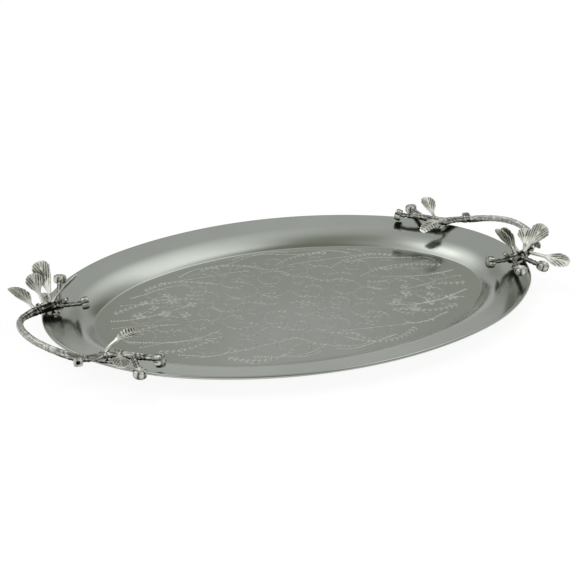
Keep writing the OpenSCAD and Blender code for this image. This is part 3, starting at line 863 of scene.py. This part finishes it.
def leaf_rings(leaf, veins):
    """Rings of a leaf from inside the twig to its tip, and how far each point stands out, darkened by painted
    shade on the side that faces down.
    """
    at, reach, face, width, curl, bare, broadest = leaf
    pitch, slope, teeth = veins
    bend = math.radians(curl)
    chord = unit(reach)
    face = unit(np.asarray(face, float) - (face @ chord) * chord)
    way = chord * math.cos(bend / 2) - face * math.sin(bend / 2)
    up = face * math.cos(bend / 2) + chord * math.sin(bend / 2)
    bend_r = np.linalg.norm(reach) / 2 / math.sin(bend / 2)
    length = bend_r * bend - TIP_TRIM
    start = stalk_start(at, way, STALK_R)
    sunk = max(0.0, skin_reach(at, way) - STALK_SUNK)
    runs = sunk + (length - sunk) * np.sin(np.pi / 2 * np.arange(LEAF_RINGS + 1) / LEAF_RINGS)
    share = np.clip((runs - start) / (length - start), 0, 1)
    blade = np.clip((share - bare) / (1 - bare), 0, 1)
    widening = np.sin(np.pi / 2 * np.minimum(1, blade / broadest)) ** LEAF_RISE
    rounding = np.sqrt(1 - (np.maximum(0, blade - broadest) / (1 - broadest)) ** 2)
    half_w = STALK_R + (width / 2 - STALK_R) * widening * rounding
    half_t = STALK_R + (LEAF_SHEET / 2 - STALK_R) * np.minimum(1, share / bare)
    half_w = half_w * np.where(share >= 1, 0.3, 1)
    turn = runs / bend_r
    middle = twig_point(at) + bend_r * (np.sin(turn)[:, None] * way + (1 - np.cos(turn))[:, None] * up)
    rise = np.cos(turn)[:, None] * up - np.sin(turn)[:, None] * way
    side = np.cross(way, up)
    turns = once_round(LEAF_SIDES)
    across, thick = np.cos(turns)[None, :], np.sin(turns)[None, :]
    broad = np.clip((half_w - STALK_R) / (width / 2 - STALK_R), 0, 1)[:, None]
    off = np.abs(across) * half_w[:, None]
    vein = np.abs(np.sin(np.pi * (runs[:, None] - slope * off) / pitch)) ** 0.9
    midrib = np.exp(-((off / MIDRIB) ** 2))
    edge = np.clip((np.abs(across) - LEAF_EDGE) / (1 - LEAF_EDGE), 0, 1)
    relief = np.maximum(np.maximum(0.8 * vein, 0.9 * midrib), edge)
    relief = 1 - broad * (1 - relief)
    tooth = 1 - teeth * broad * (1 - vein) * np.abs(across) ** 2
    flat = np.sign(thick) * np.abs(thick) ** 0.6
    height = half_t[:, None] * flat - np.sign(thick) * VEIN_DEPTH * broad * (1 - relief) * np.abs(thick)
    height = height + LEAF_CUP * (half_w[:, None] - STALK_R) * across**2
    points = (middle[:, None, :] + (across * tooth * half_w[:, None])[:, :, None] * side
              + height[:, :, None] * rise[:, None, :])
    # Painted shade: the side that faces down is painted darker, all but the raised edge
    shaded_downward = np.clip(-np.sign(thick) * rise[:, 2][:, None], 0, 1)
    return points, relief * (1 - LEAF_UNDER_SHADE * shaded_downward * (1 - edge))


leaf_nickel = cast_nickel("leaf_nickel", (0.09, 0.086, 0.05), (0.96, 0.97, 0.88), 0.42, 0.2, 0.2)
for side, end in ENDS.items():
    for label, leaf in LEAVES[side].items():
        points, relief = leaf_rings(leaf, COMB_VEINS if label == "well_leaf" else FAN_VEINS)
        blade = closed_skin(f"{side}_{label}_cast", end(points), relief, sharp=75)
        coat(blade, leaf_nickel)
        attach(blade, "root")
        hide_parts(f"{side}_{label}")

# Buds
# Cast nickel buds, short drums parted into lobes with a dimple in the upper end. Each sits on a lumpy stalk
# that is brazed to the twig as the leaves are.
BUD_R = 5.6
BUD_LENGTH = 6.4
BUD_STALK_R = 2.4
BUD_LOBES = 6
LOBE_DEPTH = 0.06
BUD_SIDES = 96
BUD_FINE = 5
STALK_LUMPS = 0.14
# Share of its brightness that every bud stalk keeps: the stalks are painted darker, partly as their own dark
# patina and partly as painted shade among the crowded leaves and buds
STALK_TONE = 0.72
# Section along the axis: shares of the radius, and of the length from the middle
BUD_SECTION = (
    (0.05, -0.5), (0.4, -0.5), (0.7, -0.49), (0.93, -0.42), (1.0, -0.26), (1.0, 0.0),
    (1.0, 0.24), (0.94, 0.41), (0.74, 0.49), (0.45, 0.46), (0.05, 0.4))


def bud_rings(bud):
    """Rings of the drum of a bud along its axis, and how far each point stands out, darkened by painted shade
    on its lower half.
    """
    at, reach, share, axis = bud
    places = np.linspace(0, len(BUD_SECTION) - 1, BUD_FINE * (len(BUD_SECTION) - 1) + 1)
    section = smooth(BUD_SECTION, places) * (BUD_R * share, BUD_LENGTH * share)
    turns = once_round(BUD_SIDES)
    lobe = np.abs(np.cos(BUD_LOBES * turns / 2)) ** 0.5
    parted = np.clip(section[:, 0] / (BUD_R * share) - 0.2, 0, 0.6)[:, None] / 0.6
    swell = 1 - LOBE_DEPTH * parted * (1 - lobe)
    middle = twig_point(at) + np.asarray(reach, float)
    rings = lathe(middle, axis, section, BUD_SIDES, lambda i, _: swell[i])
    # Painted shade: the lower half of the drum is painted darker
    painted_shade_below = np.clip((middle[2] - rings[:, :, 2]) / (BUD_R * share), 0, 1)
    return rings, (1 - parted * (1 - lobe)) * (1 - UNDER_SHADE * painted_shade_below)


def bud_stalk_rings(bud):
    """Rings of the lumpy stalk of a bud, from inside the twig to the middle of its drum, and how bright each
    point is painted.
    """
    at, reach, share, _ = bud
    way = unit(reach)
    length = np.linalg.norm(reach)
    heights = np.linspace(skin_reach(at, way) - STALK_SUNK, length, 40)
    lumps = 1 - STALK_LUMPS * (0.5 + 0.5 * np.sin(1.3 * heights))
    section = np.stack([BUD_STALK_R * share * lumps, heights], axis=1)
    turns = once_round(BUD_SIDES)
    ridge = np.abs(np.sin(2.5 * turns + 0.4)) ** 0.5
    rings = lathe(twig_point(at), way, section, BUD_SIDES, lambda *_: 0.88 + 0.12 * ridge)
    axis_points = twig_point(at) + heights[:, None] * way
    painted_shade_below = np.clip((axis_points[:, None, 2] - rings[:, :, 2]) / (BUD_STALK_R * share), 0, 1)
    # Painted shade on the lower side of the stalk, and the whole stalk painted darker by its share of tone
    return rings, STALK_TONE * ridge * (1 - UNDER_SHADE * painted_shade_below)


bud_nickel = cast_nickel("bud_nickel", (0.014, 0.0135, 0.007), (0.87, 0.885, 0.81), 0.42, 0.12, 0.15)
for side, end in ENDS.items():
    for label, bud in BUDS[side].items():
        drum, drum_relief = bud_rings(bud)
        stalk, stalk_relief = bud_stalk_rings(bud)
        cast = closed_skin(f"{side}_{label}_cast", end(drum), drum_relief, sharp=60)
        combine(cast, closed_skin("bud_stalk", end(stalk), stalk_relief), "UNION")
        coat(cast, bud_nickel)
        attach(cast, "root")
        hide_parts(f"{side}_{label}")

# Screws and washers
# Zinc-plated pan-head screws with a cross recess, each with a flat washer under its head. They go up
# through the flange and a post into the twig; the two of a handle are alike.
SCREW_R = 1.5
SCREW_LENGTH = 10
HEAD_R = 2.8
HEAD_HEIGHT = 2
THREAD_START = 0.3
THREAD_STEP = 0.5
THREAD_DEPTH = 0.18
PLAIN_TIP = 1
RECESS_LENGTH = 3
RECESS_WIDTH = 0.7
RECESS_DEPTH = 1.1
RECESS_PAST = 0.5
WASHER_R = 3.5
WASHER = 0.6
WASHER_BREAK = 0.1


def fastener_tree():
    """The same fastener at each point of the host, turned along the point's tilt."""
    tree, given, result = group_tree(
        "fasteners_at_posts", "GeometryNodeTree",
        [("Places", "Geometry", None), ("Fastener", "Object", None),
         ("Drop", "Float", 0.0), ("Material", "Material", None)],
        [("Fasteners", "Geometry")])
    tilt = add(tree, "GeometryNodeInputNamedAttribute", {"Name": "tilt"}, data_type="FLOAT_VECTOR")
    turned = add(tree, "FunctionNodeAlignRotationToVector", {"Vector": tilt.outputs["Attribute"]}, axis="Z")
    lower = add(tree, "ShaderNodeVectorMath", {
        0: tilt.outputs["Attribute"], "Scale": maths(tree, "MULTIPLY", given["Drop"], -1.0)},
        operation="SCALE")
    moved = add(tree, "GeometryNodeSetPosition", {
        "Geometry": given["Places"], "Offset": lower.outputs["Vector"]})
    source = add(tree, "GeometryNodeObjectInfo", {"Object": given["Fastener"]})
    placed = add(tree, "GeometryNodeInstanceOnPoints", {
        "Points": moved.outputs["Geometry"], "Instance": source.outputs["Geometry"],
        "Rotation": turned.outputs["Rotation"]})
    feed(tree, result, {
        "Fasteners": made_real(tree, placed.outputs["Instances"], given["Material"])})
    return tree


def screw_solid():
    """A screw that points up from the underside of its head, with a cross cut into the head."""
    section = [(0.4 * HEAD_R, -HEAD_HEIGHT), (0.75 * HEAD_R, -0.85 * HEAD_HEIGHT),
               (HEAD_R, -0.45 * HEAD_HEIGHT), (HEAD_R, 0), (SCREW_R, 0)]
    for i in range(round((SCREW_LENGTH - PLAIN_TIP) / THREAD_STEP)):
        section.append((SCREW_R - (THREAD_DEPTH if i % 2 else 0), THREAD_START + THREAD_STEP * i))
    section.append((0.8 * SCREW_R, SCREW_LENGTH))
    screw = closed_skin("screw", lathe(np.zeros(3), (0, 0, 1), section), sharp=30)
    for turn in (0, math.pi / 2):
        along = np.array([math.cos(turn), math.sin(turn), 0]) * RECESS_LENGTH / 2
        beside_it = np.array([-math.sin(turn), math.cos(turn), 0]) * RECESS_WIDTH / 2
        square = [along + beside_it, along - beside_it, -along - beside_it, -along + beside_it]
        low = (0, 0, -HEAD_HEIGHT - RECESS_PAST)
        high = (0, 0, -HEAD_HEIGHT + RECESS_DEPTH)
        slot = closed_skin("recess", [[p + high for p in square], [p + low for p in square]])
        combine(screw, slot, "DIFFERENCE")
    return screw


def washer_solid():
    """A flat ring with broken edges, standing on its lower face."""
    inner = SCREW_HOLE / 2
    outer = WASHER_R - WASHER_BREAK
    section = [(inner, 0), (outer, 0), (WASHER_R, WASHER_BREAK), (WASHER_R, WASHER - WASHER_BREAK),
               (outer, WASHER), (inner, WASHER)]
    return closed_skin("washer", lathe(np.zeros(3), (0, 0, 1), section), wrapped=True, sharp=30)


plated_zinc = sheet_metal("plated_zinc", (0.50, 0.51, 0.53), (0.62, 0.63, 0.65), 0.25, 0.4, 0.3)
fasteners = fastener_tree()
screw_part = screw_solid()
washer_part = washer_solid()
for side, end in ENDS.items():
    for label, part in (("screws", screw_part), ("washers", washer_part)):
        group = mesh_piece(f"{side}_{label}_plated", [end(foot_point(foot)) for foot in FEET.values()])
        tilts = np.array([end(foot_up(foot)) for foot in FEET.values()], np.float32)
        stored = group.data.attributes.new("tilt", "FLOAT_VECTOR", "POINT")
        stored.data.foreach_set("vector", tilts.reshape(-1))
        grow(group, fasteners, Fastener=part, Drop=(SHEET + WASHER) * MM, Material=plated_zinc)
        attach(group, "root")
        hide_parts(f"{side}_{label}")
bpy.data.objects.remove(screw_part)
bpy.data.objects.remove(washer_part)

# Stage
# A plain pale floor that keeps the soft shadow of the tray, a grey room with broad soft lights and darker
# places between them, and the camera at the height and turn of the photograph.
CAMERA_TURN = math.radians(-18.73)
CAMERA_RISE = math.radians(27.25)
CAMERA_DISTANCE = 1146
CAMERA_LENS = 80.9
CAMERA_SENSOR = 36
CAMERA_SHIFT = (-0.0094, 0.0228)
FLOOR_SIZE = 12000
FLOOR_DROP = 0.3
FLOOR_GREY = 0.3
# Brightness of the floor as the camera sees it and as the metal mirrors it
FLOOR_GLOW = 0.86
FLOOR_SHINE = 0.5
ROOM_LEVEL = 0.44
ROOM_DARK = 0.2
DARK_TINT = (1, 1, 0.84)
# Lights and dark places of the room: way, stretch in x y z, inner and outer reach, and what they add
ROOM_LIGHTS = (
    ((-0.33, 0.46, 0.82), (1.4, 1.05, 1), 0.0, 0.62, 0.67),
    ((-0.33, 0.22, 0.92), (1.4, 1.05, 1), 0.1, 0.33, 0.6),
    ((0.43, -0.46, 0.78), (1.3, 0.3, 1), 0.13, 0.46, 0.76),
    ((0.45, -0.5, 0.74), (0.3, 0.85, 1), 0.2, 0.4, -0.94),
    ((0.82, 0.42, 0.42), (1, 0.6, 1), 0.08, 0.3, -0.24),
    ((0.08, -0.1, 0.99), (1.5, 0.7, 1), 0.05, 0.35, -0.2),
    ((0.42, 0.81, 0.42), (1, 1, 1), 0.05, 0.22, -0.12),
    ((0.06, 0.88, 0.46), (1, 1, 1), 0.05, 0.22, -0.13),
    ((-0.5, -0.85, 0.15), (1, 1, 1), 0.2, 0.8, 0.35),
    ((-0.5, -0.25, 0.83), (1, 1, 1), 0.1, 0.33, 0.5),
    ((0.285, 0.95, 0.11), (1, 1, 1), 0.0, 0.24, 0.12),
    ((0.3, 0.825, 0.48), (1, 1, 1), 0.0, 0.13, 0.12),
    ((0.28, 0.88, 0.38), (1, 1, 1), 0.0, 0.1, -0.26))


def white_floor():
    """A sheet of paper just under the tray; it glows for the camera and, less, where the metal mirrors it."""
    half = FLOOR_SIZE / 2
    corners = [(x * half, y * half, -FLOOR_DROP) for x, y in ((-1, -1), (1, -1), (1, 1), (-1, 1))]
    floor = mesh_piece("white_floor", corners, faces=[(0, 1, 2, 3)])
    material, tree, shader, _ = blank_material("white_paper")
    path = add(tree, "ShaderNodeLightPath")
    seen = maths(tree, "MULTIPLY", path.outputs["Is Camera Ray"], FLOOR_GLOW)
    mirrored = maths(tree, "MULTIPLY", path.outputs["Is Glossy Ray"], FLOOR_SHINE)
    feed(tree, shader, {
        "Metallic": 0.0, "Roughness": 0.9, "Specular IOR Level": 0.0,
        "Base Color": (FLOOR_GREY, FLOOR_GREY, FLOOR_GREY, 1), "Emission Color": (1, 1, 1, 1),
        "Emission Strength": maths(tree, "MAXIMUM", seen, mirrored)})
    coat(floor, material)
    return floor


def grey_room():
    """A grey room with soft lights: each adds its level where the direction comes near to its own.

    The camera itself sees white in place of the room.
    """
    world = bpy.data.worlds.new("grey_room")
    world.use_nodes = True
    tree = world.node_tree
    direction = add(tree, "ShaderNodeTexCoord").outputs["Generated"]
    level = add(tree, "ShaderNodeValue").outputs[0]
    level.default_value = ROOM_LEVEL
    for way, stretch, inner, outer, gain in ROOM_LIGHTS:
        off = add(tree, "ShaderNodeVectorMath", {
            0: direction, 1: Vector(way).normalized()}, operation="SUBTRACT")
        shaped = add(tree, "ShaderNodeVectorMath", {
            0: off.outputs["Vector"], 1: stretch}, operation="MULTIPLY")
        far = add(tree, "ShaderNodeVectorMath", {0: shaped.outputs["Vector"]}, operation="LENGTH")
        near = add(tree, "ShaderNodeMapRange", {
            "Value": far.outputs["Value"], "From Min": inner, "From Max": outer,
            "To Min": gain, "To Max": 0.0}, interpolation_type="SMOOTHSTEP")
        level = maths(tree, "ADD", level, near.outputs["Result"])
    level = maths(tree, "MAXIMUM", level, ROOM_DARK)
    seen = add(tree, "ShaderNodeLightPath").outputs["Is Camera Ray"]
    level = add(tree, "ShaderNodeMix", {"Factor": seen, "A": level, "B": 1.0}).outputs["Result"]
    tint = ramp(tree, level, DARK_TINT, (1, 1, 1), ROOM_DARK, ROOM_LEVEL)
    feed(tree, tree.nodes["Background"], {"Strength": level, "Color": tint})
    return world


def photo_camera():
    """A camera that looks at the middle of the floor from its distance, turn and height."""
    camera = bpy.data.cameras.new("photo_camera")
    camera.lens = CAMERA_LENS
    camera.sensor_width = CAMERA_SENSOR
    camera.shift_x, camera.shift_y = CAMERA_SHIFT
    level = math.cos(CAMERA_RISE)
    back = Vector((math.sin(CAMERA_TURN) * level, -math.cos(CAMERA_TURN) * level, math.sin(CAMERA_RISE)))
    right = Vector((math.cos(CAMERA_TURN), math.sin(CAMERA_TURN), 0))
    up = back.cross(right)
    turned = Matrix((right, up, back)).transposed().to_4x4()
    holder = bpy.data.objects.new("photo_camera", camera)
    bpy.context.scene.collection.objects.link(holder)
    place = Vector((0, 0, SHEET * MM)) + back * (CAMERA_DISTANCE * MM)
    holder.matrix_world = Matrix.Translation(place) @ turned
    return holder


white_floor()
bpy.context.scene.world = grey_room()
bpy.context.scene.camera = photo_camera()
bpy.context.scene.view_settings.view_transform = "Standard"
